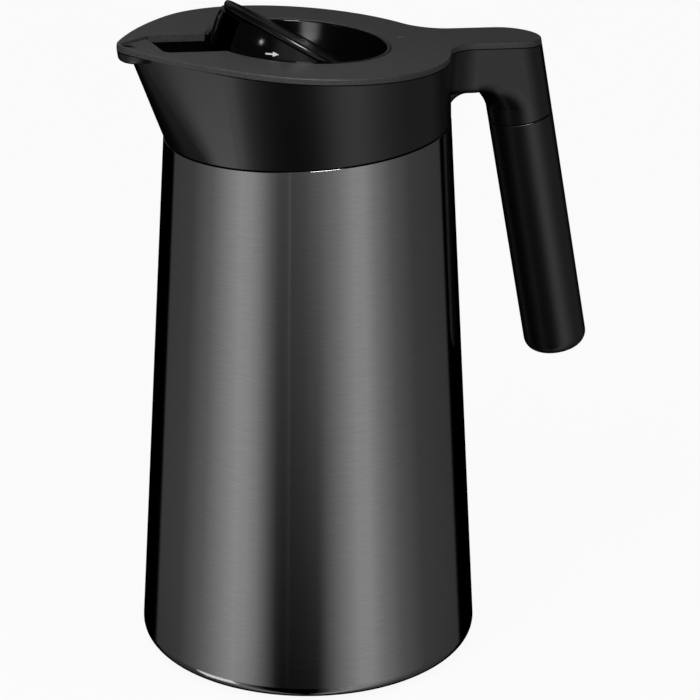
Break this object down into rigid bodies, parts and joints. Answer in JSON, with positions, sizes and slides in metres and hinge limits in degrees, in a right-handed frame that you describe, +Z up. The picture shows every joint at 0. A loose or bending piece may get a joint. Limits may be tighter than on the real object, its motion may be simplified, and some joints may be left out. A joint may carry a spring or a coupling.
{
  "type": "thermal jug",
  "caption": "Tapered vacuum jug with a spout, a bridge handle and a round rocker flap that tilts in the lid to open and close the pouring valve.",
  "frame": {"origin": "centre of the base, on the surface that the jug stands on", "axes": "+Z up along the axis of the flask, spout to -X, handle to +X"},
  "size_m": [0.1833, 0.126, 0.2449],
  "materials": {
    "shell_steel": "black-tinted, brushed around the body",
    "flask_steel": "plain satin",
    "head_plastic": "satin black",
    "plate_plastic": "fine-grained matte black",
    "grip_plastic": "satin black",
    "flap_plastic": "satin black",
    "gloss_plastic": "polished black",
    "rubber": "matte dark grey",
    "hardware": "plain steel",
    "insert_brass": "machined",
    "mark_steel": "bright"
  },
  "bodies": {
    "jug": {"outer_shell": "shell_steel", "base_plate": "flask_steel", "base_pad": "rubber", "inner_flask": "flask_steel", "vacuum_getter": "hardware", "shoulder_ring": "flask_steel", "neck_gasket": "rubber", "head": "head_plastic", "top_plate": "plate_plastic", "index_mark": "mark_steel", "pour_socket": "gloss_plastic", "handle_grip": "grip_plastic", "grip_insert": "insert_brass", "handle_bolt": "hardware"},
    "closure": {"closure_bowl": "gloss_plastic", "pivot_pins": "hardware", "closure_seal": "rubber", "valve_cage": "gloss_plastic", "valve_spring": "hardware"},
    "rocker": {"flap_plate": "flap_plastic", "rocker_drum": "gloss_plastic"},
    "valve": {"valve_stem": "gloss_plastic", "valve_disc": "gloss_plastic", "valve_seal": "rubber", "stem_clip": "hardware"}
  },
  "joints": [
    {"name": "closure_lift", "type": "slide", "parent": "jug", "child": "closure", "axis": [0.0711, 0, 0.9975], "range_m": [0, 0.07]},
    {"name": "rocker_tilt", "type": "hinge", "parent": "closure", "child": "rocker", "pos_m": [-0.0039, 0, 0.22583], "axis": [0, -1, 0], "range_deg": [0, 27.2]},
    {"name": "valve_slide", "type": "slide", "parent": "closure", "child": "valve", "axis": [0.0711, 0, 0.9975], "range_m": [0, 0.004], "deforming": ["valve_spring"]}
  ],
  "couplings": [
    {"joint": "valve_slide", "follows": "rocker_tilt", "m_per_rad": 0.0082718}
  ]
}
